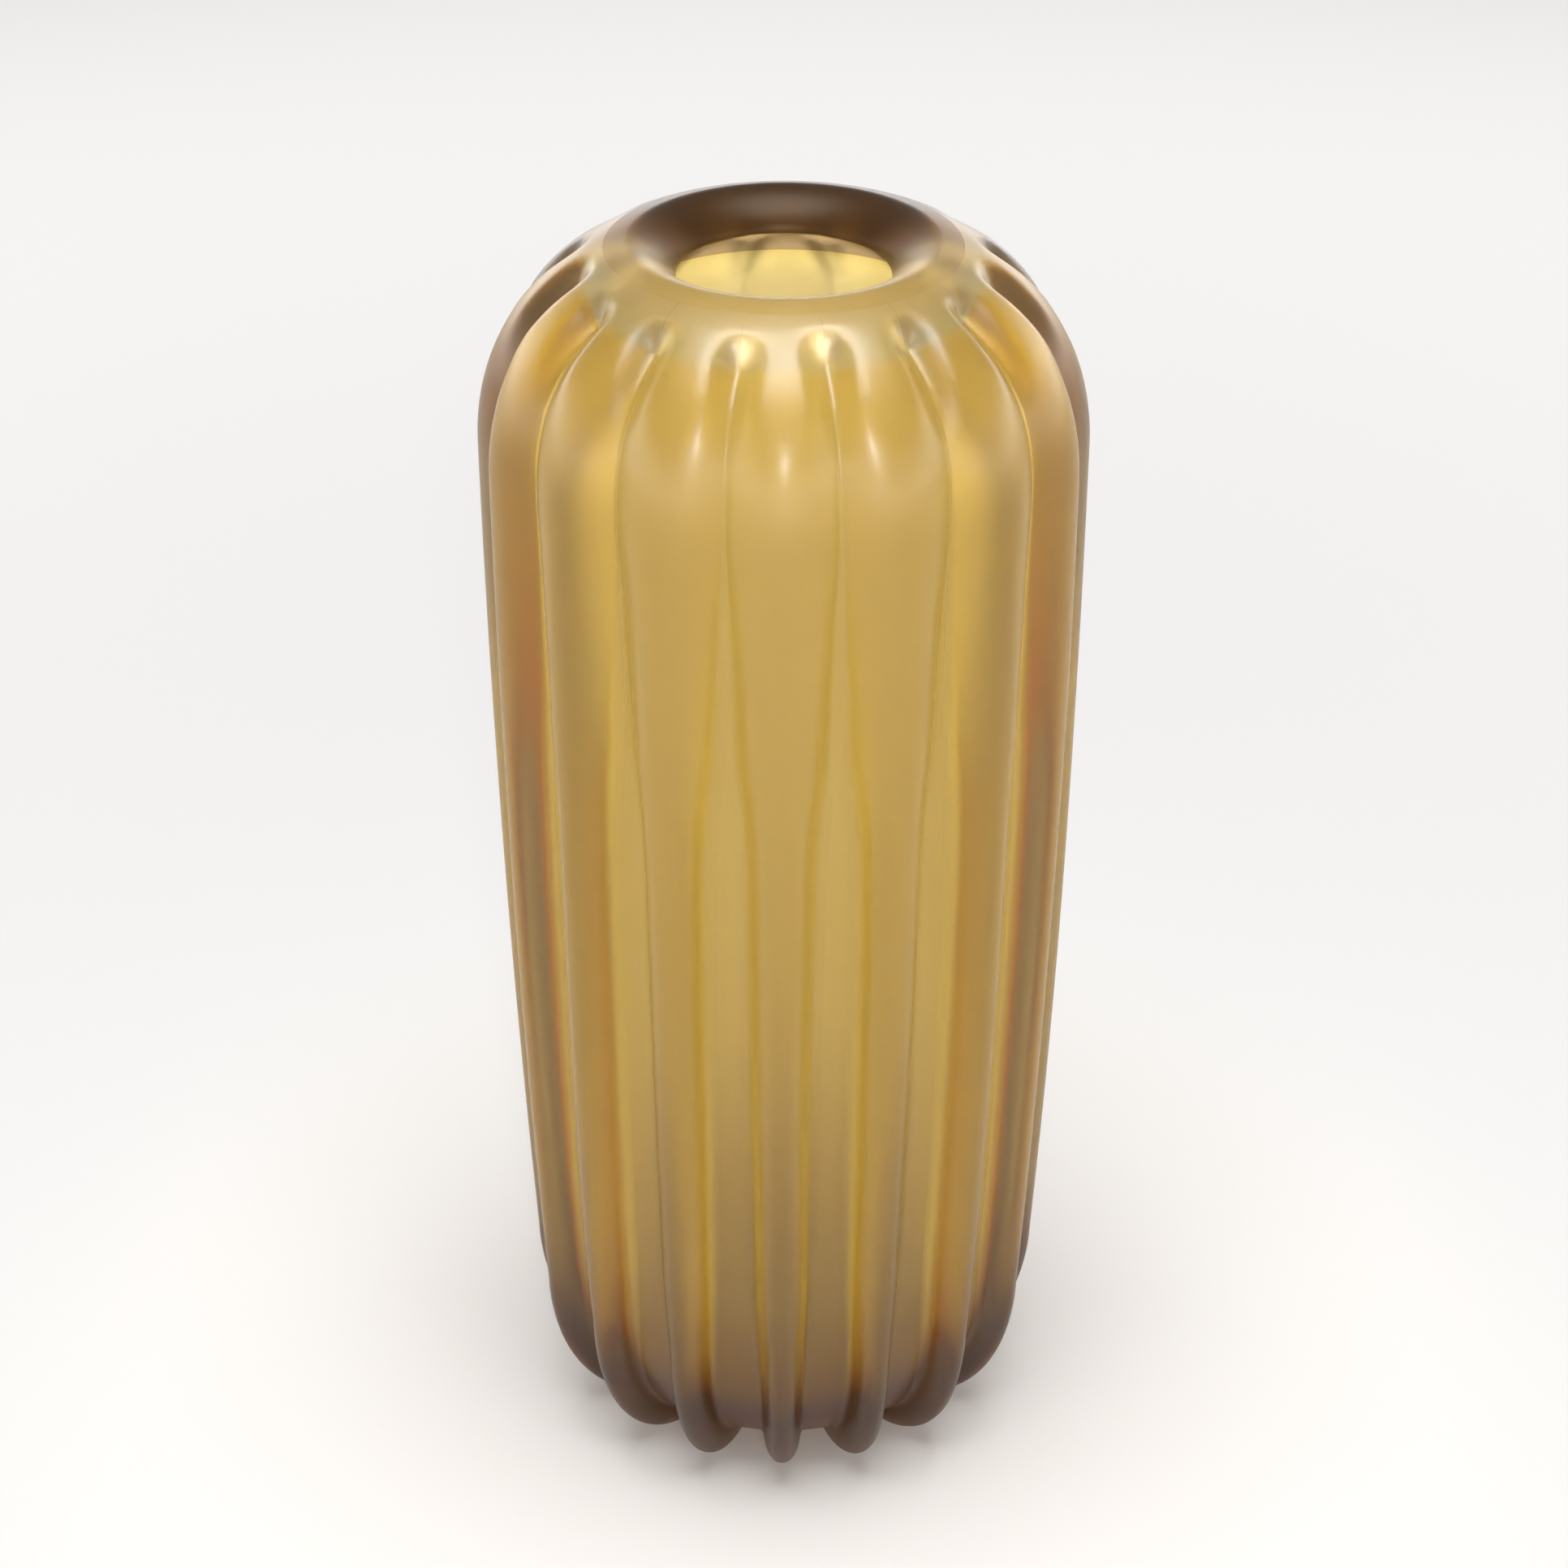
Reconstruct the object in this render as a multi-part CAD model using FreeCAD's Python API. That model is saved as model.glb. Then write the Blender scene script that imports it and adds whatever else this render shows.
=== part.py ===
"""Tall ribbed vase in cased, acid-satined glass, with sixteen solid ribs that turn under to be its feet.

Millimetres, +Z up, origin on the table plane below the middle of the vase. Every layer is a solid of
revolution cut from nested outlines, and the ribs are fins carried round it in a ring. The layers and ribs
meet face to face, as the gathers of hot glass do.
"""
import FreeCAD, Part
import math
import os

# Overall form, measured over the crests of the ribs
HEIGHT = 370.5                # table to the top of the rolled lip
SHOULDER_RADIUS = 82.0        # over the ribs, where the shoulder starts to close in
WAIST_RADIUS = 76.4           # over the ribs, where the base starts to turn under
SHOULDER_DROP = 58.5          # lip top down to the start of the shoulder
TURN_HEIGHT = 49.7            # table up to where the base turns under
FOOT_RADIUS = 44.9            # ring that the ribs stand on
SIDE_SWELL = 1.7              # how far the side bows out from a straight line

# Mouth
THROAT_RADIUS = 28.3          # narrowest ring of the mouth
THROAT_DROP = 10.5            # lip top down to the throat
LIP_ROLL = 5.3                # throat out to the highest ring of the lip
LIP_THICKNESS = 15.0          # lip top down to its underside
COLLAR_WIDTH = 13.4           # highest ring of the lip out to the heads of the grooves

# Ribs
RIB_COUNT = 16
RIB_HEIGHT = 8.6              # how far a rib stands out from the wall
FOOT_HEIGHT = 9.5             # how far the ribs hold the wall above the table
RIB_TOP_WIDTH = 22.0          # across a rib, at the shoulder
RIB_FOOT_WIDTH = 13.4         # across a rib, at the table
RIB_CREST_ROUND = 6.0         # rounding of a rib's two outer edges
RIB_TOE_REACH = 8.8           # how far a rib runs inward past the foot ring
RIB_SEAT_DEPTH = 3.0          # how far a fin is drawn into the wall before the wall is cut away from it
FOOT_GRIND = 0.4              # glass ground off each foot so that the vase stands level

# Gathers of glass
CASING_WALL = 4.6             # smoky outer gather
LINING_WALL = 2.6             # amber inner bubble
SHOULDER_STEP = 3.2           # how far the casing starts below the collar, at the heads of the grooves

# Floor of the vase
PAD_THICKNESS = 11.0          # disc of glass left by the punty
PAD_MARGIN = 2.1              # ring of casing that shows between the disc and the toes of the ribs
PONTIL_RADIUS = 14.0          # ground and polished hollow where the punty came off
PONTIL_DEPTH = 2.2

LIP_RADIUS = THROAT_RADIUS + LIP_ROLL
COLLAR_RADIUS = LIP_RADIUS + COLLAR_WIDTH
TOE_RADIUS = FOOT_RADIUS - RIB_TOE_REACH
PAD_RADIUS = TOE_RADIUS - PAD_MARGIN
SHOULDER_HEIGHT = HEIGHT - SHOULDER_DROP
LIP_UNDERSIDE = HEIGHT - LIP_THICKNESS
THROAT_HEIGHT = HEIGHT - THROAT_DROP
# a rib's two roundings leave a flat of at least a tenth of its width between them
CREST_ROUND = min(RIB_CREST_ROUND, 0.45 * min(RIB_TOP_WIDTH, RIB_FOOT_WIDTH))

FULL_TURN = 360.0
PITCH = FULL_TURN / RIB_COUNT
TOOL_OVERRUN = 20.0           # how far a cutting shape runs past what it cuts
CENTRE = FreeCAD.Vector(0, 0, 0)
UP = FreeCAD.Vector(0, 0, 1)


def at(radius, height):
    """A point in the plane that every outline is drawn in."""
    return FreeCAD.Vector(radius, 0, height)


def line(start, end):
    return Part.LineSegment(start, end).toShape()


def quarter(start, end, middle):
    """A quarter of an ellipse, from the end of one half axis to the end of the other."""
    longer_first = (start - middle).Length >= (end - middle).Length
    first, second = (start, end) if longer_first else (end, start)
    return Part.Arc(Part.Ellipse(first, second, middle), 0, math.pi / 2).toShape()


def face_of(edges):
    return Part.Face(Part.Wire(Part.sortEdges(edges)[0]))


def side_curve(side_inset):
    """The long bowed side between the waist and the shoulder, with the two points it joins."""
    waist = at(WAIST_RADIUS - side_inset, TURN_HEIGHT)
    shoulder = at(SHOULDER_RADIUS - side_inset, SHOULDER_HEIGHT)
    swell = (waist + shoulder) / 2 + at(SIDE_SWELL, 0)
    return waist, shoulder, Part.Arc(waist, swell, shoulder).toShape()


def half_section(lip_inset, side_inset, foot_inset):
    """Everything inside the outline over the rib crests, moved in at the lip, the side and the foot."""
    waist, shoulder, side = side_curve(side_inset)
    foot = at(FOOT_RADIUS, foot_inset)
    lip = at(LIP_RADIUS, HEIGHT - lip_inset)
    floor_middle = at(0, foot_inset)
    top_middle = at(0, HEIGHT - lip_inset)
    return face_of([
        line(floor_middle, foot),
        quarter(foot, waist, at(FOOT_RADIUS, TURN_HEIGHT)),
        side,
        quarter(shoulder, lip, at(LIP_RADIUS, SHOULDER_HEIGHT)),
        line(lip, top_middle),
        line(top_middle, floor_middle),
    ])


def block(radius, bottom, top):
    """The half section of a plain disc on the axis."""
    corners = [at(0, bottom), at(radius, bottom), at(radius, top), at(0, top), at(0, bottom)]
    return Part.Face(Part.makePolygon(corners))


def throat():
    """What the mouth takes out of the collar: everything inside the rolled, bull-nosed lip."""
    lip_top = at(LIP_RADIUS, HEIGHT)
    narrowest = at(THROAT_RADIUS, THROAT_HEIGHT)
    lip_foot = at(LIP_RADIUS, LIP_UNDERSIDE)
    roll_middle = at(LIP_RADIUS, THROAT_HEIGHT)
    return face_of([
        quarter(lip_top, narrowest, roll_middle),
        quarter(narrowest, lip_foot, roll_middle),
        line(lip_foot, at(0, LIP_UNDERSIDE)),
        line(at(0, LIP_UNDERSIDE), at(0, HEIGHT)),
        line(at(0, HEIGHT), lip_top),
    ])


def pontil_hollow():
    """A shallow spherical dish in the middle of the underside."""
    ball_radius = (PONTIL_RADIUS ** 2 + PONTIL_DEPTH ** 2) / (2 * PONTIL_DEPTH)
    ball_height = FOOT_HEIGHT + PONTIL_DEPTH - ball_radius
    half_way = math.asin(PONTIL_RADIUS / ball_radius) / 2
    rim = at(PONTIL_RADIUS, FOOT_HEIGHT)
    between = at(ball_radius * math.sin(half_way), ball_height + ball_radius * math.cos(half_way))
    middle = at(0, FOOT_HEIGHT + PONTIL_DEPTH)
    return face_of([
        Part.Arc(rim, between, middle).toShape(),
        line(middle, at(0, FOOT_HEIGHT)),
        line(at(0, FOOT_HEIGHT), rim),
    ])


def turned(section):
    """A solid of revolution about the vase's axis, with its seam half way between two ribs."""
    solid = section.revolve(CENTRE, UP, FULL_TURN).Solids[0]
    solid.rotate(CENTRE, UP, PITCH / 2)
    return solid


def layers():
    """The four gathers of glass, cut from nested half sections so that neighbours share their faces."""
    neck = block(COLLAR_RADIUS, SHOULDER_HEIGHT, HEIGHT)
    floor_top = FOOT_HEIGHT + PAD_THICKNESS
    lining_inset = RIB_HEIGHT + CASING_WALL
    hollow = half_section(LIP_THICKNESS, lining_inset + LINING_WALL, floor_top + LINING_WALL)
    lining = half_section(LIP_THICKNESS - LINING_WALL, lining_inset, floor_top)
    pad = block(PAD_RADIUS, FOOT_HEIGHT, floor_top)
    return {
        "mouth_collar": half_section(0, 0, 0).common(neck).cut(hollow).cut(throat()),
        "smoke_casing": wall_section().cut(lining).cut(neck).cut(pad),
        "amber_lining": lining.cut(hollow).cut(neck),
        "base_pad": pad.cut(pontil_hollow()),
    }


def wall_section():
    """Everything inside the wall's outer face, which is the floor of the grooves."""
    return half_section(SHOULDER_STEP, RIB_HEIGHT, FOOT_HEIGHT)


def fin():
    """A rib's side view: its crest from the lip down, round under the waist, and in to the toe."""
    waist, shoulder, side = side_curve(0)
    lip = at(LIP_RADIUS, HEIGHT)
    foot = at(FOOT_RADIUS, -FOOT_GRIND)
    toe = at(TOE_RADIUS, FOOT_HEIGHT + RIB_SEAT_DEPTH)
    inner_corner = at(LIP_RADIUS, SHOULDER_HEIGHT)
    return face_of([
        quarter(foot, toe, at(FOOT_RADIUS, FOOT_HEIGHT + RIB_SEAT_DEPTH)),
        quarter(foot, waist, at(FOOT_RADIUS, TURN_HEIGHT)),
        side,
        quarter(shoulder, lip, inner_corner),
        line(lip, inner_corner),
        line(inner_corner, toe),
    ])


def front_view():
    """A rib's tapering front view, as a shape that reaches out past its crest."""
    taper = (RIB_TOP_WIDTH - RIB_FOOT_WIDTH) / HEIGHT
    bottom, top = -TOOL_OVERRUN, HEIGHT + TOOL_OVERRUN
    low_half = (RIB_FOOT_WIDTH + taper * bottom) / 2
    high_half = (RIB_FOOT_WIDTH + taper * top) / 2
    corners = [(-low_half, bottom), (low_half, bottom), (high_half, top), (-high_half, top)]
    points = [FreeCAD.Vector(0, across, height) for across, height in corners + corners[:1]]
    return Part.Face(Part.makePolygon(points)).extrude(FreeCAD.Vector(SHOULDER_RADIUS + TOOL_OVERRUN, 0, 0))


def sector():
    """The slice of the vase that belongs to one rib, so that neighbours meet at a line in the groove."""
    wedge = Part.makeCylinder(
        2 * SHOULDER_RADIUS, HEIGHT + 2 * TOOL_OVERRUN, at(0, -TOOL_OVERRUN), UP, PITCH)
    wedge.rotate(CENTRE, UP, -PITCH / 2)
    return wedge


def crest_edges(blank):
    """The curved edges along both sides of a fin's crest, from the lip to the toe."""
    return [edge for edge in blank.Edges
            if not isinstance(edge.Curve, Part.Line)
            and edge.Vertexes[0].Point.y * edge.Vertexes[-1].Point.y > 0]


def rib():
    """A rounded fin, seated on the wall, flush with the collar, and ground flat at the foot."""
    widest = max(RIB_TOP_WIDTH, RIB_FOOT_WIDTH) + TOOL_OVERRUN
    side_view = fin()
    side_view.translate(FreeCAD.Vector(0, -widest / 2, 0))
    blank = side_view.extrude(FreeCAD.Vector(0, widest, 0)).common(front_view()).Solids[0]
    rounded = blank.makeFillet(CREST_ROUND, crest_edges(blank))
    neck = Part.makeCylinder(COLLAR_RADIUS, SHOULDER_DROP + TOOL_OVERRUN, at(0, SHOULDER_HEIGHT))
    table = Part.makeCylinder(2 * SHOULDER_RADIUS, TOOL_OVERRUN, at(0, -TOOL_OVERRUN))
    seated = rounded.common(sector()).cut(turned(wall_section())).cut(neck).cut(table)
    return max(seated.Solids, key=lambda piece: piece.Volume)


def in_ring(piece, number):
    """The piece turned to its place in the ring: rib 1 is at the front, and they count round by +X."""
    placed = piece.copy()
    placed.rotate(CENTRE, UP, (number - 1) * PITCH - FULL_TURN / 4)
    return placed


def pieces():
    built = {node: turned(section) for node, section in layers().items()}
    first_rib = rib()
    for number in range(1, RIB_COUNT + 1):
        built["rib_%02d" % number] = in_ring(first_rib, number)
    return built


os.makedirs("parts", exist_ok=True)
for node, shape in pieces().items():
    shape.exportStep("parts/%s.step" % node)
    box = shape.optimalBoundingBox(False)
    print("%-13s solids %d, valid %s, %8.0f mm3, z %.2f to %.2f" % (
        node, len(shape.Solids), shape.isValid(), shape.Volume, box.ZMin, box.ZMax))
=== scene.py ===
"""Looks of the tall ribbed vase in cased, acid-satined glass.

The vase's own pieces are drawn in millimetres and put into their meshes in metres. Sixteen ribs sit
side by side on one smoky casing, whose bare strips are the floors of the grooves. Inside the casing
lies the amber lining, and the rolled collar and the punty's disc close the ends. Where two pieces are
fused, both keep a face there, a hair apart, and the attribute "weld" makes those faces clear.
"""

import bpy
import numpy as np
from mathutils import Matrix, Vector


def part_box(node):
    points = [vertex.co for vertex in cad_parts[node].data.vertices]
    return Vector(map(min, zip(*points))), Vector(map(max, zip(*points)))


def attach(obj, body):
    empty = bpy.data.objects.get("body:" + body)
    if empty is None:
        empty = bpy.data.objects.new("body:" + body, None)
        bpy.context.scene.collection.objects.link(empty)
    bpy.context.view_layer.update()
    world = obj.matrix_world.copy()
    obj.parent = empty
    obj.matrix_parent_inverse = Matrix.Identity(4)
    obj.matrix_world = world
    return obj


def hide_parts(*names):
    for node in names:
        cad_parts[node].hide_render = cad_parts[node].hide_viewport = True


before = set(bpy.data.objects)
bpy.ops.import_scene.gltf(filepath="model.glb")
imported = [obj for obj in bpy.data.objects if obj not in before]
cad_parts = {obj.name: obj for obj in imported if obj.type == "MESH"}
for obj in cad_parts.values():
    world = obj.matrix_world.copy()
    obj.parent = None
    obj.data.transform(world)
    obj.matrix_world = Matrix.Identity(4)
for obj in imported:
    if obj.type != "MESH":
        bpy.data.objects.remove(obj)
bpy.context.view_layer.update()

MM = 0.001


def reach(node):
    """How far a node of the frame reaches from the vase's axis, in millimetres."""
    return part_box(node)[1].x / MM


def low(node):
    """The height of a node's lowest point, in millimetres."""
    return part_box(node)[0].z / MM


def high(node):
    """The height of a node's highest point, in millimetres."""
    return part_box(node)[1].z / MM


# sizes read from the frame, in millimetres
HEIGHT = high("mouth_collar")
COLLAR_RADIUS = reach("mouth_collar")
WALL_FOOT = low("smoke_casing")
PAD_RADIUS = reach("base_pad")
PAD_TOP = high("base_pad")

# the outline over the ribs, in millimetres
SHOULDER_RADIUS = 82.0
SHOULDER_HEIGHT = HEIGHT - 58.5
WAIST_RADIUS = 76.4
TURN_HEIGHT = 49.7
FOOT_RADIUS = 44.9
TOE_REACH = 8.8
SIDE_SWELL = 1.7
THROAT_RADIUS = 28.3
THROAT_HEIGHT = HEIGHT - 10.5
# LIP_RADIUS is where the shoulder's ellipse is level, CROWN_RADIUS where the lip leaves it
LIP_RADIUS = 33.6
CROWN_RADIUS = 42.0
LIP_UNDERSIDE = HEIGHT - 15.0
# the lip's roll is pulled up towards the first of these points, and in towards the second
LIP_PULL_UP = (38.0, HEIGHT + 0.5)
LIP_PULL_IN = (THROAT_RADIUS, THROAT_HEIGHT + 4.5)
# how steeply the underside of the shoulder falls away from the throat
THROAT_FALL = 0.47
# the front of the mouth is this much lower than its back, from DIP_START up over DIP_LENGTH
MOUTH_DIP = 2.4
DIP_START = 330
DIP_LENGTH = 36

# the layers, in millimetres
GROOVE_DEPTH = 8.6
CASING_WALL = 4.6
WALL_INSET = GROOVE_DEPTH + CASING_WALL
LINING_WALL = 2.6
PONTIL_RADIUS = 14.0
PONTIL_DEPTH = 2.2
# a turned line stops this far short of the axis
AXIS_HOLE = 0.4

# the ribs and grooves, in millimetres
RIBS = 16
PITCH = 2 * np.pi / RIBS
FIRST_RIB = -np.pi / 2
FOOT_DEPTH = WALL_FOOT
RIB_FOOT_WIDTH = 13.4
RIB_TAPER = 8.6 / 370.5
# a rib's root spreads by ROOT_SPREAD over the turn, and by HEAD_SPREAD up to the shoulder
ROOT_SPREAD = 2.6
ROOT_SPREAD_START, ROOT_SPREAD_LENGTH = 15, 70
HEAD_SPREAD = 4.5
HEAD_SPREAD_START, HEAD_SPREAD_LENGTH = 215, 80
NARROWEST_FLOOR = 0.02
GAP = 0.02
# a groove starts HEAD_START along the crest line from the collar and sinks over HEAD_LENGTH
HEAD_START = 3.5
HEAD_LENGTH = 10.0
HEAD_FADE = 30
# the share of its full depth that a groove has at each height
GROOVE_HEIGHTS = [255, 290, 320, 340, 352, 361]
GROOVE_SHARES = [1.0, 0.86, 0.66, 0.52, 0.53, 0.62]
# at the head a groove turns from a V into a rounded dimple
DIMPLE_WIDTH = 3.8
DIMPLE_START, DIMPLE_LENGTH = 338, 16
# a rib's section at four heights: the share of the rise where its crest gives way to the fillet, the
# fillet's run, and the two powers of the crest curve
SECTION_HEIGHTS = [10, 60, 240, 315]
FILLET_SHARES = [0.20, 0.33, 0.33, 0.04]
FILLET_RUNS = [1.2, 2.8, 3.4, 0.4]
LONGEST_RUN = 0.4
POWER_HEIGHTS = [0, 60, 240, 315]
WIDTH_POWERS = [2.2, 2.2, 2.3, 2.0]
RISE_POWERS = [0.5, 0.52, 0.58, 0.95]

rng = np.random.default_rng(16)
HEAD_SHIFT = rng.uniform(-2.0, 2.5, RIBS)
HEAD_DEPTH = rng.uniform(0.86, 1.05, RIBS)


def smooth(x):
    """A step from 0 to 1 that leaves and arrives level: 3 x squared less 2 x cubed."""
    x = np.clip(x, 0, 1)
    return x * x * (3 - 2 * x)


def quarter(start, end, middle, count, first=0.0):
    """Points of a quarter ellipse: middle + (start - middle) cos a + (end - middle) sin a."""
    a = np.linspace(first, np.pi / 2, count)[:, None]
    start, end, middle = (np.array(p, float) for p in (start, end, middle))
    return middle + (start - middle) * np.cos(a) + (end - middle) * np.sin(a)


def side(top, bottom, count):
    """Points down the side: a straight run from top to bottom that bows out as a parabola."""
    x = np.linspace(0, 1, count)[:, None]
    top, bottom = np.array(top, float), np.array(bottom, float)
    return top + (bottom - top) * x + np.array([4 * SIDE_SWELL, 0]) * x * (1 - x)


def straight(start, end, count):
    """Evenly spaced points of a straight run."""
    x = np.linspace(0, 1, count)[:, None]
    return np.array(start, float) * (1 - x) + np.array(end, float) * x


ROWS = dict(shoulder=84, side=84, turn=48, toe=14, under=4)
CREST_STEPS, FILLET_STEPS, FLOOR_STEPS, SEAT_STEPS = 16, 7, 3, 10
OVER_STEPS, ROLL_STEPS, SLOPE_STEPS = 14, 24, 48
ROUND_STEPS, DISC_ROUND_STEPS = 192, 96


def outline(lip, lip_radius, inset, foot_height, toe_radius, end_radius):
    """Radius and height from the collar's edge down over shoulder, side and turn, and in to end_radius."""
    shoulder = (SHOULDER_RADIUS - inset, SHOULDER_HEIGHT)
    waist = (WAIST_RADIUS - inset, TURN_HEIGHT)
    foot = (FOOT_RADIUS, foot_height)
    first = np.arcsin((COLLAR_RADIUS - lip_radius) / (shoulder[0] - lip_radius))
    parts = [
        quarter((lip_radius, lip), shoulder, (lip_radius, SHOULDER_HEIGHT), ROWS["shoulder"], first),
        side(shoulder, waist, ROWS["side"])[1:],
        quarter(waist, foot, (FOOT_RADIUS, TURN_HEIGHT), ROWS["turn"])[1:],
        straight(foot, (toe_radius, foot_height), ROWS["toe"])[1:],
        straight((toe_radius, foot_height), (end_radius, foot_height), ROWS["under"])[1:],
    ]
    return np.concatenate(parts)


def cavity_line(foot_height):
    """The lining's inner face from the collar's edge down to the disc.

    Under the shoulder it is a quadratic Bezier: from the throat it falls away at a set slope, and it
    ends upright where the side begins. It starts where that curve passes the collar's edge.
    """
    line = outline(LIP_UNDERSIDE, LIP_RADIUS, WALL_INSET + LINING_WALL, foot_height,
                   FOOT_RADIUS - TOE_REACH, PAD_RADIUS)
    line[:ROWS["shoulder"]] = throat_slope(COLLAR_RADIUS, None, ROWS["shoulder"])
    return line


def throat_slope(first_radius, last_radius, count):
    """The part of the slope under the shoulder between two radii, as a quadratic Bezier."""
    start = np.array([THROAT_RADIUS, THROAT_HEIGHT])
    end = np.array([SHOULDER_RADIUS - WALL_INSET - LINING_WALL, SHOULDER_HEIGHT])
    bend = np.array([end[0], start[1] - THROAT_FALL * (end[0] - start[0])])

    def along(radius):
        return 1 - np.sqrt(1 - (radius - start[0]) / (end[0] - start[0]))

    last = 1.0 if last_radius is None else along(last_radius)
    t = np.linspace(along(first_radius), last, count)[:, None]
    return start * (1 - t) ** 2 + bend * 2 * t * (1 - t) + end * t ** 2


def from_edge(line):
    """A line that starts further in, made to start on the collar's edge, with the same number of rows."""
    kept = np.argmax(line[:, 0] > COLLAR_RADIUS)
    if kept == 0:
        return line
    (r0, z0), (r1, z1) = line[kept - 1], line[kept]
    edge = (COLLAR_RADIUS, z0 + (z1 - z0) * (COLLAR_RADIUS - r0) / (r1 - r0))
    return np.concatenate([straight(edge, line[kept], kept + 1), line[kept + 1:]])


def thickened(line, distance):
    """A line moved out along its normals, starting at the collar's edge."""
    return from_edge(line + outward(line) * distance)


def crest_line():
    """The outline over the rib crests, with the toe curling up to meet the wall."""
    line = outline(HEIGHT, LIP_RADIUS, 0.0, 0.0, FOOT_RADIUS - TOE_REACH, PAD_RADIUS)
    toe = quarter((FOOT_RADIUS, 0), (FOOT_RADIUS - TOE_REACH, WALL_FOOT), (FOOT_RADIUS, WALL_FOOT),
                  ROWS["toe"])
    start = ROWS["shoulder"] + ROWS["side"] + ROWS["turn"] - 3
    line[start:start + ROWS["toe"]] = toe
    line[start + ROWS["toe"]:, 1] = WALL_FOOT
    return line, start


def travelled(line):
    """Distance along a line from its start."""
    return np.concatenate([[0], np.cumsum(np.linalg.norm(np.diff(line, axis=0), axis=1))])


def outward(line):
    """Unit normals of a line, pointing away from the vase's inside."""
    along = np.gradient(line, axis=0)
    normal = np.stack([-along[:, 1], along[:, 0]], axis=1)
    return normal / np.linalg.norm(normal, axis=1)[:, None]


def joint_line(crest, foot_row):
    """The face that ribs and casing share: the crest line moved in by the grooves' full depth."""
    lift = smooth(1 - crest[:, 1] / (2 * TURN_HEIGHT))
    depth = GROOVE_DEPTH + (FOOT_DEPTH - GROOVE_DEPTH) * lift
    line = crest - outward(crest) * depth[:, None]
    line[foot_row:, 0] = crest[foot_row:, 0]
    line[foot_row:, 1] = WALL_FOOT
    return from_edge(line)


def groove_floor(crest, joint, groove):
    """The bottom of one groove: it sinks from the crest line to the joint line along the groove's head."""
    head = HEAD_START + HEAD_SHIFT[groove]
    sunk = smooth((travelled(crest) - head) / HEAD_LENGTH)
    sunk = sunk * HEAD_DEPTH[groove] ** smooth((crest[:, 1] - SHOULDER_HEIGHT) / HEAD_FADE)
    sunk = sunk * np.interp(crest[:, 1], GROOVE_HEIGHTS, GROOVE_SHARES)
    return crest + (joint - crest) * sunk[:, None]


def rib_half_width(joint):
    """Half the distance between a rib's two root lines, at every row."""
    height = joint[:, 1]
    half_pitch = joint[:, 0] * np.sin(PITCH / 2)
    width = (RIB_FOOT_WIDTH + RIB_TAPER * height) / 2
    width = width + ROOT_SPREAD * smooth((height - ROOT_SPREAD_START) / ROOT_SPREAD_LENGTH)
    width = width + HEAD_SPREAD * smooth((height - HEAD_SPREAD_START) / HEAD_SPREAD_LENGTH)
    return np.minimum(width, half_pitch - NARROWEST_FLOOR)


def upright(values):
    """A row of values stood up as a column, one for each row of a grid."""
    return values[:, None]


def half_rib(crest, joint):
    """Half a rib's section at every row, from its crest to its root.

    The crest is x = w sin(b) ** (2 / p), y = H cos(b) ** (2 q): an ellipse at p = 2 and q = 1/2. From
    where it has fallen to a given share of H, a quadratic Bezier runs out along its tangent and lies
    down on the floor. At the groove's head the section turns into a dimple, y = H (1 - exp(-(d / s)
    squared)), with d the distance from the root. Returns the distance across, and the share of the
    rise to the crest.
    """
    root = rib_half_width(joint)
    height = joint[:, 1]
    fade = np.interp(height, SECTION_HEIGHTS, FILLET_SHARES)
    run = np.minimum(np.interp(height, SECTION_HEIGHTS, FILLET_RUNS), LONGEST_RUN * root)
    p = np.interp(height, POWER_HEIGHTS, WIDTH_POWERS)
    q = np.interp(height, POWER_HEIGHTS, RISE_POWERS)
    last = np.arccos(fade ** (0.5 / q))
    reach_out = np.sin(last) ** (2 / p)
    slack = np.cos(last) ** 2 / (p * q * np.sin(last) ** (2 - 2 / p))
    width = (root - run) / (reach_out + slack)
    b = upright(last) * np.linspace(0, 1, CREST_STEPS)[None, :]
    u = np.linspace(0, 1, FILLET_STEPS)[None, 1:]
    start = upright(width * reach_out)
    bend = start + upright(width * slack)
    across = np.concatenate([
        upright(width) * np.sin(b) ** (2 / upright(p)),
        start * (1 - u) ** 2 + bend * 2 * u * (1 - u) + upright(root) * u ** 2], axis=1)
    share = np.concatenate([
        np.cos(b) ** upright(2 * q),
        upright(fade) * (1 - u) ** 2], axis=1)
    dimple = 1 - np.exp(-((upright(root) - across) / DIMPLE_WIDTH) ** 2)
    dimpled = upright(smooth((crest[:, 1] - DIMPLE_START) / DIMPLE_LENGTH))
    return across, share + (dimple - share) * dimpled


# Waves of hand work, each: size, waves round the vase, millimetres of height a radian, start. The turns
# are in radians and the swells in shares of the radius.
TURN_WAVES = ((0.006, 1, 95, 0.0), (0.004, 3, -60, 1.0), (0.003, 5, 38, 2.0))
SWELL_WAVES = ((0.004, 2, 110, 0.0), (0.002, 3, 70, 0.0))
STEADY_FOOT = 40


def unevenness(angle, height):
    """The slow drift of hand work, as a turn in radians and a share of the radius, all round the vase.

    Each is a sum of sines of the angle and the height. The swell only ever takes away, and both fade
    out at the feet so that they stand level.
    """
    turn = sum(size * np.sin(waves * angle + height / pitch + start)
               for size, waves, pitch, start in TURN_WAVES)
    swell = sum(size * (np.sin(waves * angle + height / pitch + start) - 1)
                for size, waves, pitch, start in SWELL_WAVES)
    grip = smooth(height / STEADY_FOOT)
    return turn * grip, swell * grip


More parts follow.
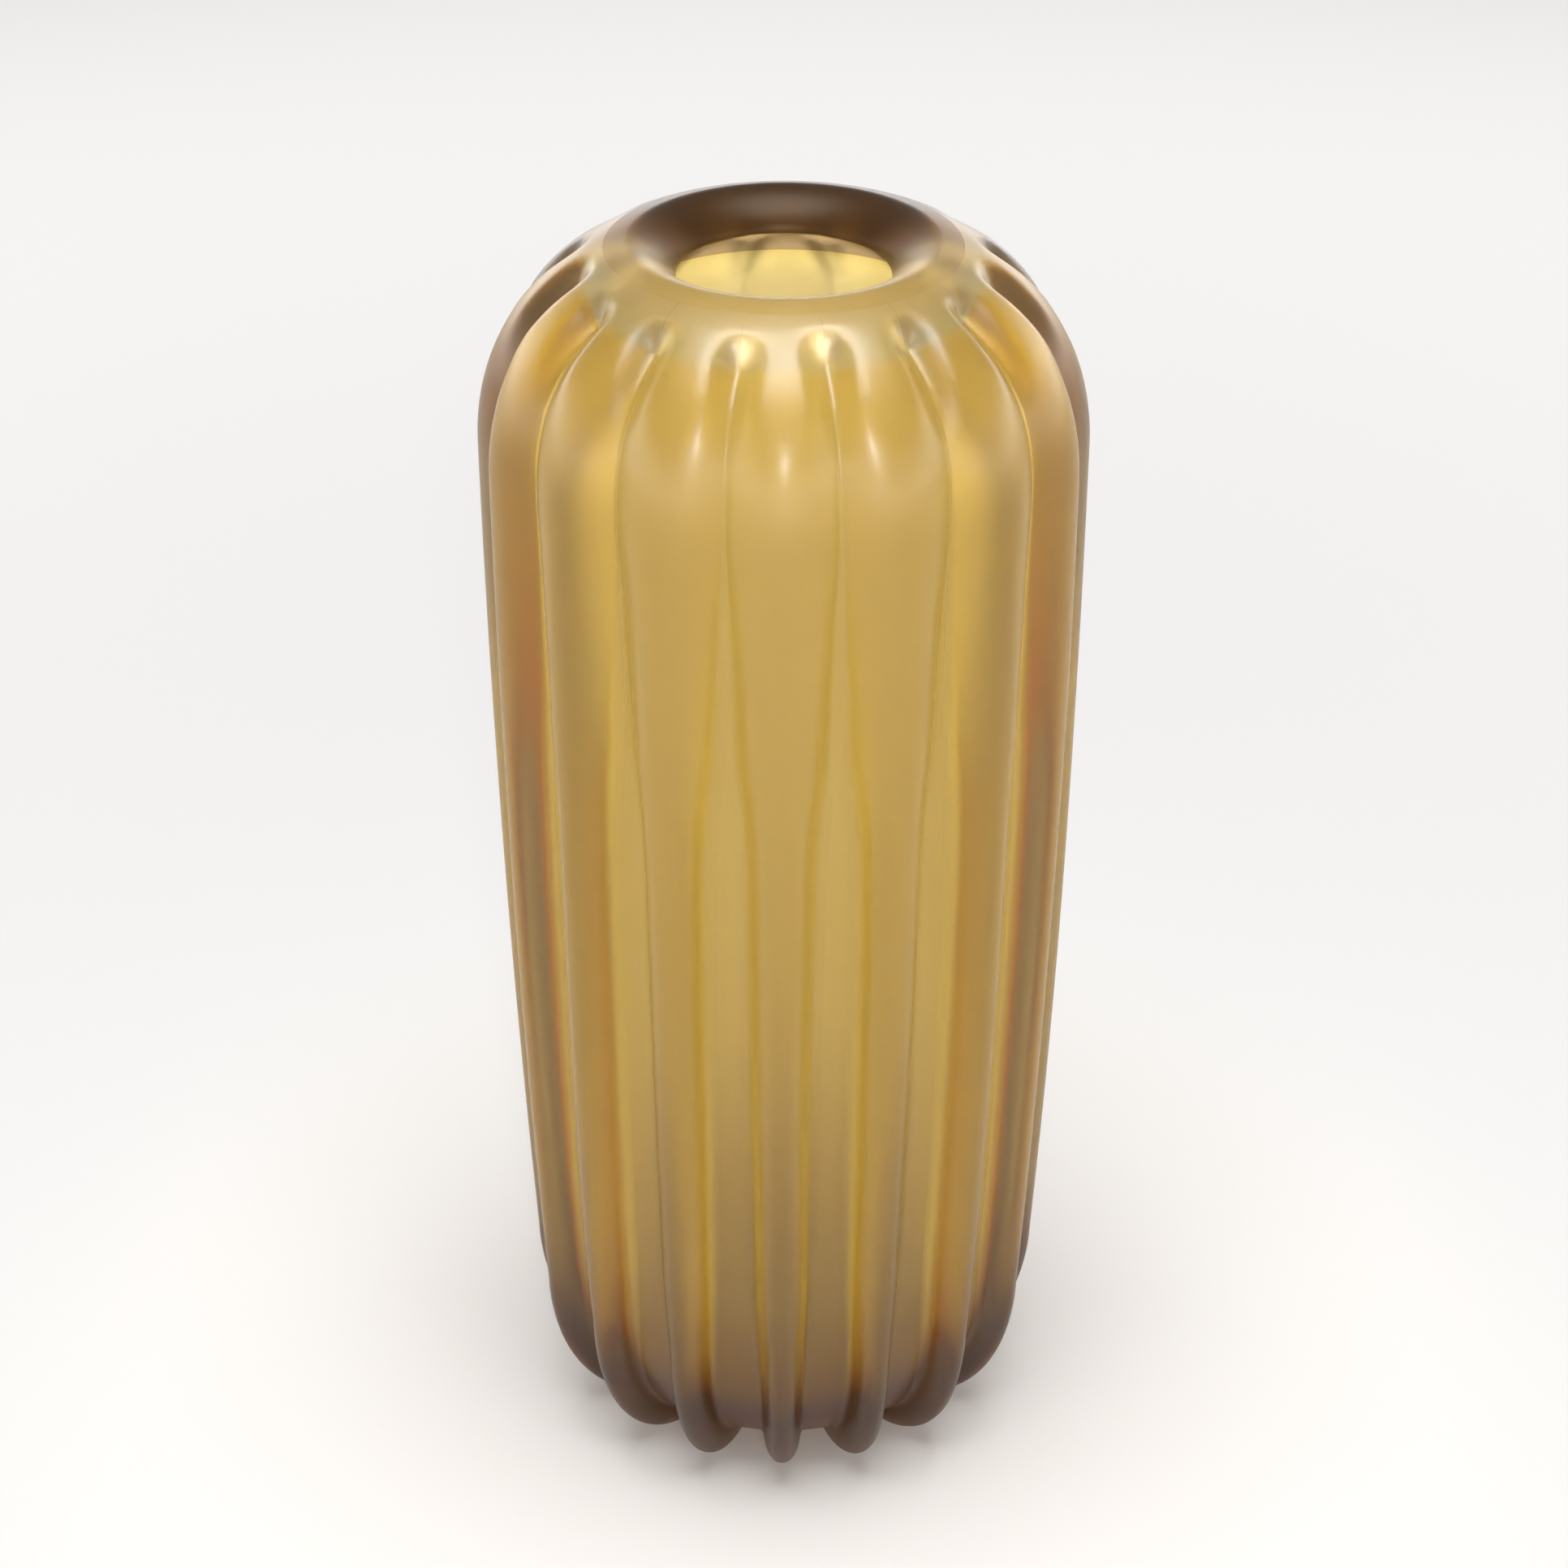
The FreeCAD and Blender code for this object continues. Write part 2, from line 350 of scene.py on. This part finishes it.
def placed(radius, angle, height):
    """Points of the vase in metres, with the unevenness of hand work and the dip of the mouth's front."""
    turn, swell = unevenness(angle, height)
    dip = MOUTH_DIP / 2 * (1 - np.sin(angle)) * smooth((height - DIP_START) / DIP_LENGTH)
    radius, angle, height = radius * (1 + swell), angle + turn, height - dip
    return np.stack([radius * np.cos(angle), radius * np.sin(angle), height + 0 * angle], axis=-1) * MM


def skin(name, outer, inner, hidden, wraps=False, hidden_outer=None):
    """A closed piece between two grids of points. hidden names the sides welded to other glass."""
    rows, columns = outer.shape[:2]
    index = np.arange(rows * columns).reshape(rows, columns)
    other = index + rows * columns
    if wraps:
        index, other = (np.concatenate([g, g[:, :1]], axis=1) for g in (index, other))

    def quads(grid):
        return np.stack([grid[:-1, :-1], grid[1:, :-1], grid[1:, 1:], grid[:-1, 1:]], axis=-1).reshape(-1, 4)

    def strip(edge, far_edge):
        return quads(np.stack([far_edge, edge]))

    sides = {
        "outer": quads(index), "inner": quads(other)[:, ::-1],
        "first_row": strip(index[0], other[0]), "last_row": strip(index[-1], other[-1])[:, ::-1]}
    if not wraps:
        sides["first_column"] = strip(index[:, 0], other[:, 0])[:, ::-1]
        sides["last_column"] = strip(index[:, -1], other[:, -1])
    faces = np.concatenate(list(sides.values()))
    weld = np.concatenate([np.full(len(q), float(side in hidden)) for side, q in sides.items()])
    if hidden_outer is not None:
        weld[:len(sides["outer"])] = hidden_outer.reshape(-1)
    rim = np.zeros((2, rows, columns), int)
    rim[:, [0, -1]] = 1
    if not wraps:
        rim[:, :, [0, -1]] = 1
    rim[1] *= 2
    points = np.concatenate([outer.reshape(-1, 3), inner.reshape(-1, 3)])
    return piece_from(name, points, faces, weld, rim.reshape(-1))


def piece_from(name, points, faces, weld, rim):
    """A mesh object from points and quads, facing outwards. Edges whose ends lie on one rim are sharp.

    Every face is smooth shaded, welded ones too, because light is only followed out of a coloured glass
    through faces of the same kind as it came in by.
    """
    fan = points[faces]
    volume = np.einsum("ij,ij->i", fan[:, 0], np.cross(fan[:, 1], fan[:, 2])).sum()
    volume += np.einsum("ij,ij->i", fan[:, 0], np.cross(fan[:, 2], fan[:, 3])).sum()
    if volume < 0:
        faces = faces[:, ::-1]
    mesh = bpy.data.meshes.new(name)
    mesh.from_pydata(points.tolist(), [], faces.tolist())
    mesh.polygons.foreach_set("use_smooth", np.ones(len(faces), bool))
    ends = np.empty(len(mesh.edges) * 2, int)
    mesh.edges.foreach_get("vertices", ends)
    first, second = rim[ends[::2]], rim[ends[1::2]]
    mesh.edges.foreach_set("use_edge_sharp", (first > 0) & (first == second))
    mesh.attributes.new("weld", "FLOAT", "FACE").data.foreach_set("value", weld.astype(np.float32))
    piece = bpy.data.objects.new(name, mesh)
    bpy.context.scene.collection.objects.link(piece)
    return piece


def rib(number):
    """One rib, from the collar to its toe, on the casing.

    The section rises from the floor of the groove on each side. Its angles are stretched so that its
    roots stand exactly over the edges of its seat on the joint line.
    """
    crest, foot_row = crest_line()
    crest = crest[:foot_row + ROWS["toe"]]
    joint = joint_line(crest, foot_row)
    halves = []
    for groove in ((number - 2) % RIBS, number - 1):
        floor = groove_floor(crest, joint, groove)
        across, share = half_rib(crest, joint)
        radius = floor[:, :1] + share * (crest - floor)[:, :1]
        height = floor[:, 1:] + share * (crest - floor)[:, 1:]
        seat_angle = np.arcsin(across / joint[:, :1])
        angle = np.arcsin(across / radius)
        angle = angle * (seat_angle[:, -1:] / angle[:, -1:])
        halves.append((radius, height, angle, seat_angle))
    before, after = halves
    middle = (number - 1) * PITCH + FIRST_RIB

    def join(k, sign):
        return np.concatenate([sign * before[k][:, :0:-1], after[k]], axis=1)

    outer_points = placed(join(0, 1), middle + join(2, -1), join(1, 1))
    seat = middle + join(3, -1)
    inner_points = placed(joint[:, :1] + 0 * seat, seat, joint[:, 1:] + 0 * seat)
    return skin("rib_%02d_glass" % number, outer_points, inner_points,
                ("inner", "first_row", "last_row", "first_column", "last_column"))


def smoke_casing():
    """The smoky wall under the ribs. It shows only in the grooves' floors and round the disc.

    Its outer face is the joint line and its inner face the lining's line moved out, both turned round
    the axis. The strips under the ribs are marked as welds.
    """
    crest, foot_row = crest_line()
    joint = joint_line(crest, foot_row)
    root = np.arcsin(rib_half_width(joint) / joint[:, 0])[:, None]
    seat = root * np.linspace(-1, 1, SEAT_STEPS)[None, :]
    ground = root + (PITCH - 2 * root) * np.linspace(0, 1, FLOOR_STEPS + 1)[None, 1:-1]
    one = np.concatenate([seat, ground], axis=1)
    angle = np.concatenate([one + n * PITCH + FIRST_RIB for n in range(RIBS)], axis=1)
    shrunk = joint - outward(joint) * GAP
    inner = thickened(cavity_line(PAD_TOP + LINING_WALL), LINING_WALL)
    outer_points = placed(shrunk[:, :1] + 0 * angle, angle, shrunk[:, 1:] + 0 * angle)
    inner_points = placed(inner[:, :1] + 0 * angle, angle, inner[:, 1:] + 0 * angle)
    seated = np.tile(np.arange(one.shape[1]) < SEAT_STEPS - 1, RIBS)
    covered = np.arange(len(joint) - 1) < foot_row + ROWS["toe"] - 1
    return skin("smoke_casing_wall", outer_points, inner_points, ("inner", "first_row", "last_row"),
                wraps=True, hidden_outer=covered[:, None] & seated[None, :])


def turned(line, columns):
    """A line of radius and height carried round the axis."""
    angle = np.linspace(0, 2 * np.pi, columns, endpoint=False)[None, :]
    return placed(line[:, :1] + 0 * angle, angle + 0 * line[:, :1], line[:, 1:] + 0 * angle)


def lip_path(edge=COLLAR_RADIUS - GAP):
    """Over the collar and lip from the collar's edge, through the throat and out along its underside.

    Over the collar it is the shoulder's ellipse, the lip's roll is a cubic Bezier from the crown to the
    throat, and the underside is the slope under the shoulder.
    """
    spread = SHOULDER_RADIUS - LIP_RADIUS
    rise = HEIGHT - SHOULDER_HEIGHT
    a = np.linspace(np.arccos((edge - LIP_RADIUS) / spread),
                    np.arccos((CROWN_RADIUS - LIP_RADIUS) / spread), OVER_STEPS)
    over = np.stack([LIP_RADIUS + spread * np.cos(a), SHOULDER_HEIGHT + rise * np.sin(a)], axis=1)
    t = np.linspace(0, 1, ROLL_STEPS)[:, None]
    pull_up, pull_in, throat = (
        np.array(p) for p in (LIP_PULL_UP, LIP_PULL_IN, (THROAT_RADIUS, THROAT_HEIGHT)))
    roll = (over[-1] * (1 - t) ** 3 + pull_up * 3 * t * (1 - t) ** 2
            + pull_in * 3 * t ** 2 * (1 - t) + throat * t ** 3)
    slope = throat_slope(THROAT_RADIUS, edge, SLOPE_STEPS)
    return np.concatenate([over, roll[1:], slope[1:]])


def mouth_collar():
    """The rolled collar: the lip's path turned into a closed ring, welded to ribs, casing and lining."""
    grid = turned(lip_path(), ROUND_STEPS)
    rows, columns = grid.shape[:2]
    index = np.arange(rows * columns).reshape(rows, columns)
    index = np.concatenate([index, index[:, :1]], axis=1)
    index = np.concatenate([index, index[:1]], axis=0)
    quads = np.stack([index[:-1, :-1], index[1:, :-1], index[1:, 1:], index[:-1, 1:]], axis=-1)
    weld = np.zeros(quads.shape[:2])
    weld[-1] = 1.0
    rim = np.zeros((rows, columns), int)
    rim[[0, -1]] = [[1], [2]]
    return piece_from("mouth_collar_glass", grid.reshape(-1, 3), quads.reshape(-1, 4),
                      weld.reshape(-1), rim.reshape(-1))


def to_axis(line):
    """A line carried on straight to a hair off the axis, where a piece is closed by its last row."""
    return np.concatenate([line, straight(line[-1], (AXIS_HOLE, line[-1, 1]), 8)[1:]])


def amber_lining():
    """The amber bubble: the cavity's line, and the same line moved out by the wall, turned round."""
    inner = cavity_line(PAD_TOP + LINING_WALL)
    outer = thickened(inner, LINING_WALL - GAP)
    return skin("amber_lining_bubble", turned(to_axis(outer), ROUND_STEPS),
                turned(to_axis(inner), ROUND_STEPS),
                ("outer", "first_row"), wraps=True)


def base_pad():
    """The punty's disc, with its ground hollow: z rises as a parabola towards the middle."""
    radius = np.concatenate([
        np.linspace(PAD_RADIUS, PONTIL_RADIUS, 8),
        np.linspace(PONTIL_RADIUS, AXIS_HOLE, 16)[1:]])
    rise = PONTIL_DEPTH * np.clip(1 - (radius / PONTIL_RADIUS) ** 2, 0, 1)
    radius = radius - GAP
    under = np.stack([radius, WALL_FOOT + rise], axis=1)
    top = np.stack([radius, 0 * radius + PAD_TOP - GAP], axis=1)
    return skin("base_pad_disc", turned(under, DISC_ROUND_STEPS), turned(top, DISC_ROUND_STEPS),
                ("inner", "first_row"), wraps=True)


# ---- materials


def linear(code):
    """A six-figure sRGB colour as linear light."""
    values = np.array([int(code[i:i + 2], 16) / 255 for i in (0, 2, 4)])
    lin = np.where(values <= 0.04045, values / 12.92, ((values + 0.055) / 1.055) ** 2.4)
    return (*[float(v) for v in lin], 1.0)


def add(tree, kind, settings=None, **links):
    """A node with its settings and what feeds its sockets."""
    node = tree.nodes.new(kind)
    for key, value in (settings or {}).items():
        if key in node.inputs:
            node.inputs[key].default_value = value
        else:
            setattr(node, key, value)
    for socket, source in links.items():
        tree.links.new(source, node.inputs[socket.replace("_", " ")])
    return node


def ramp(tree, place, axis, start, end, first, last):
    """A colour that goes smoothly from first to last between two heights or depths, in millimetres."""
    part = add(tree, "ShaderNodeSeparateXYZ", Vector=place).outputs[axis]
    share = add(tree, "ShaderNodeMapRange", {
        "interpolation_type": "SMOOTHSTEP", "From Min": start * MM, "From Max": end * MM}, Value=part)
    blend = add(tree, "ShaderNodeMix", {"data_type": "RGBA"})
    share_in, first_in, last_in = blend.inputs[0], blend.inputs[6], blend.inputs[7]
    first_in.default_value = linear(first)
    last_in.default_value = linear(last)
    tree.links.new(share.outputs[0], share_in)
    return blend.outputs[2]


GLASS_IOR = 1.5
# the pits of acid satin are far finer than this: they are drawn coarser so that a render can carry them
PIT_SIZE = 0.35 * MM
PIT_DEPTH = 0.05 * MM
COAT_ROUGHNESS = 0.2


def glass(name, tint, roughness, absorbed, density, pits, weld_refracts=False, through=1.0, coat=0.12,
          sheen="FFFFFF"):
    """A rough glass whose colour lies in its depth.

    tint is a ramp of the surface's colour, which on these glasses carries painted shade: darker towards the
    foot on the smoke and the amber, darker at the back on the collar's glass. absorbed and density are the
    colour of its depth, which passes exp(-density (1 - colour) metres) of the light. through is the share of
    light let in at all, and the rest is scattered at the surface. Faces marked as welds are clear: they are
    transparent, or with weld_refracts they refract with an IOR of 1, which bends nothing.
    """
    material = bpy.data.materials.new(name)
    material.use_nodes = True
    tree = material.node_tree
    tree.nodes.clear()
    place = add(tree, "ShaderNodeTexCoord").outputs["Object"]
    noise = add(tree, "ShaderNodeTexNoise", {"Scale": 1 / PIT_SIZE, "Detail": 3.0}, Vector=place)
    bump = add(tree, "ShaderNodeBump", {"Strength": pits, "Distance": PIT_DEPTH},
               Height=noise.outputs["Fac"])
    surface = add(tree, "ShaderNodeBsdfPrincipled", {
        "Roughness": roughness, "IOR": GLASS_IOR, "Transmission Weight": through,
        "Specular Tint": linear(sheen), "Coat Weight": coat, "Coat Roughness": COAT_ROUGHNESS},
        Normal=bump.outputs["Normal"], Base_Color=ramp(tree, place, *tint))
    weld = add(tree, "ShaderNodeAttribute", {"attribute_name": "weld"})
    if weld_refracts:
        clear = add(tree, "ShaderNodeBsdfRefraction", {"IOR": 1.0, "Roughness": 0.0, "Color": (1, 1, 1, 1)})
    else:
        clear = add(tree, "ShaderNodeBsdfTransparent")
    mixed = add(tree, "ShaderNodeMixShader")
    tree.links.new(weld.outputs["Fac"], mixed.inputs[0])
    tree.links.new(surface.outputs[0], mixed.inputs[1])
    tree.links.new(clear.outputs[0], mixed.inputs[2])
    volume = add(tree, "ShaderNodeVolumeAbsorption", {"Color": absorbed, "Density": density})
    add(tree, "ShaderNodeOutputMaterial", Surface=mixed.outputs[0], Volume=volume.outputs[0])
    return material


# Acid satin breaks up the light that goes through and leaves a soft, wide sheen with no mirror in it.
SATIN = 0.38
# Painted shade: towards the foot the surface is tinted, which turns the glass from gold to brown where it
# looks onto the shaded floor under the vase.
FOOT_PAINTED_SHADE = ("Z", 8, 80, "AC884F", "FFFFFF")
# The colours of a glass's depth are linear, as the shader takes them.
SMOKE_COLOUR, SMOKE_DENSITY = (0.62, 0.49, 0.03, 1), 37.0
# Smoky glass, blown and acid satined: a brown veil, seen only in the floors of the grooves.
smoke = glass("smoky glass, acid satined", FOOT_PAINTED_SHADE, SATIN, SMOKE_COLOUR, SMOKE_DENSITY, 0.2)
# The same glass tooled into ribs: the thicker it is, the browner it gets, so the ribs' sides show darker.
ribbed = glass("smoky glass, tooled and acid satined", FOOT_PAINTED_SHADE, SATIN, SMOKE_COLOUR, SMOKE_DENSITY,
               0.2, True)
# Amber run into smoke where the collar was rolled: gold at the front. Its surface is tinted dark brown
# towards the back, painted shade that also darkens its sides, and a brown specular tint dulls it.
blend = glass("amber run into smoke, acid satined", ("Y", -30, 20, "FFFFFF", "8A6C50"), SATIN,
              (0.87, 0.67, 0.13, 1), 42.0, 0.2, coat=0.0, sheen="A3907E")
# Amber glass left as it was blown: it takes out the blue, and a cloudy skin makes its inside pale.
# The lining's surface tint, darker towards the bottom, is painted shade of the floor under the vase.
amber = glass("amber glass, fire polished", ("Z", 20, 95, "CCAA70", "FFF3DC"), 0.4,
              (0.98, 0.843, 0.10, 1), 300.0, 0.1, True, 0.8)

pieces = [(rib(n), "rib_%02d" % n, ribbed, "rib_glass") for n in range(1, RIBS + 1)]
for piece, node, material, slot in pieces + [
        (smoke_casing(), "smoke_casing", smoke, "smoke_glass"),
        (mouth_collar(), "mouth_collar", blend, "smoke_glass"),
        (amber_lining(), "amber_lining", amber, "amber_glass"),
        (base_pad(), "base_pad", blend, "base_glass")]:
    piece.data.materials.append(material)
    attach(piece, "root")
    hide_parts(node)

# ---- floor, light and camera


FLOOR_HALF = 6.0
# the floor's tone at three distances from the middle of the vase, in metres, with painted light in it: pale
# by the feet, lifting the vase's shadow, a little greyer further out, and palest far off, making up for
# the softbox's light falling off
FLOOR_PAINTED_LIGHT_DISTANCES = (0.08, 0.3, 1.6)
FLOOR_PAINTED_LIGHT_TONES = ("CFCCC9", "C6C5C4", "ECEBEA")


def floor():
    """The sheet the vase stands on: one square of matt white paper, its tone painted lighter by the feet and
    far off.
    """
    mesh = bpy.data.meshes.new("floor")
    h = FLOOR_HALF
    mesh.from_pydata([(-h, -h, 0), (h, -h, 0), (h, h, 0), (-h, h, 0)], [], [(0, 1, 2, 3)])
    ground = bpy.data.objects.new("floor", mesh)
    bpy.context.scene.collection.objects.link(ground)
    material = bpy.data.materials.new("matt white paper sweep, painted light in its tone")
    material.use_nodes = True
    tree = material.node_tree
    shader = tree.nodes["Principled BSDF"]
    place = add(tree, "ShaderNodeTexCoord").outputs["Object"]
    far = add(tree, "ShaderNodeVectorMath", {"operation": "LENGTH"}, Vector=place).outputs["Value"]
    painted_light_reach = FLOOR_PAINTED_LIGHT_DISTANCES[-1]
    fade = add(tree, "ShaderNodeMapRange", {"From Min": 0.0, "From Max": painted_light_reach}, Value=far)
    ramp_node = add(tree, "ShaderNodeValToRGB", Fac=fade.outputs[0])
    tone = ramp_node.color_ramp
    tone.interpolation = "EASE"
    tone.elements.new(FLOOR_PAINTED_LIGHT_DISTANCES[1] / painted_light_reach)
    for stop, distance, code in zip(tone.elements, FLOOR_PAINTED_LIGHT_DISTANCES, FLOOR_PAINTED_LIGHT_TONES):
        stop.position = distance / painted_light_reach
        stop.color = linear(code)
    tree.links.new(ramp_node.outputs["Color"], shader.inputs["Base Color"])
    shader.inputs["Roughness"].default_value = 0.9
    shader.inputs["Specular IOR Level"].default_value = 0.1
    mesh.materials.append(material)


def light(name, size, power, place, target):
    """A flat rectangular lamp in metres and watts, turned to face a point."""
    lamp = bpy.data.lights.new(name, "AREA")
    lamp.shape = "RECTANGLE"
    lamp.size, lamp.size_y = size
    lamp.energy = power
    holder = bpy.data.objects.new(name, lamp)
    holder.location = place
    holder.rotation_euler = (Vector(target) - Vector(place)).to_track_quat("-Z", "Y").to_euler()
    bpy.context.scene.collection.objects.link(holder)


# the surroundings: bright at the horizon, and dim above this height of the direction
HORIZON_TOP, DIM_FROM = 0.05, 0.42
HORIZON_STRENGTH, DIM_STRENGTH = 3.7, 0.35


def surroundings():
    """White surroundings that shine in low through the glass and leave its top to the softbox."""
    world = bpy.data.worlds.new("white studio")
    bpy.context.scene.world = world
    world.use_nodes = True
    tree = world.node_tree
    backdrop = tree.nodes["Background"]
    backdrop.inputs["Color"].default_value = (1, 1, 1, 1)
    way = add(tree, "ShaderNodeTexCoord").outputs["Generated"]
    part = add(tree, "ShaderNodeSeparateXYZ", Vector=way)
    strength = add(tree, "ShaderNodeMapRange", {
        "From Min": HORIZON_TOP, "From Max": DIM_FROM, "To Min": HORIZON_STRENGTH, "To Max": DIM_STRENGTH,
        "interpolation_type": "SMOOTHSTEP"}, Value=part.outputs["Z"])
    tree.links.new(strength.outputs[0], backdrop.inputs["Strength"])


floor()
surroundings()
# the default view greys the bright ambers of lit glass
bpy.context.scene.view_settings.view_transform = "Standard"
light("overhead softbox", (1.3, 1.3), 56.0, (0.0, -0.25, 2.2), (0, -0.15, 0))
light("front lamp", (0.16, 0.16), 6.5, (0.05, -1.2, 0.88), (0, 0, 0.3))

camera = bpy.data.cameras.new("camera")
camera.sensor_width = 36.0
camera.lens = 69.7
holder = bpy.data.objects.new("camera", camera)
bpy.context.scene.collection.objects.link(holder)
DISTANCE, CAMERA_HEIGHT = 0.7481, 0.6363
PITCH_DOWN, SWING = np.radians(29.879), np.radians(0.58)
holder.location = (DISTANCE * np.sin(SWING), -DISTANCE * np.cos(SWING), CAMERA_HEIGHT)
holder.rotation_euler = (np.pi / 2 - PITCH_DOWN, 0, SWING)
bpy.context.scene.camera = holder
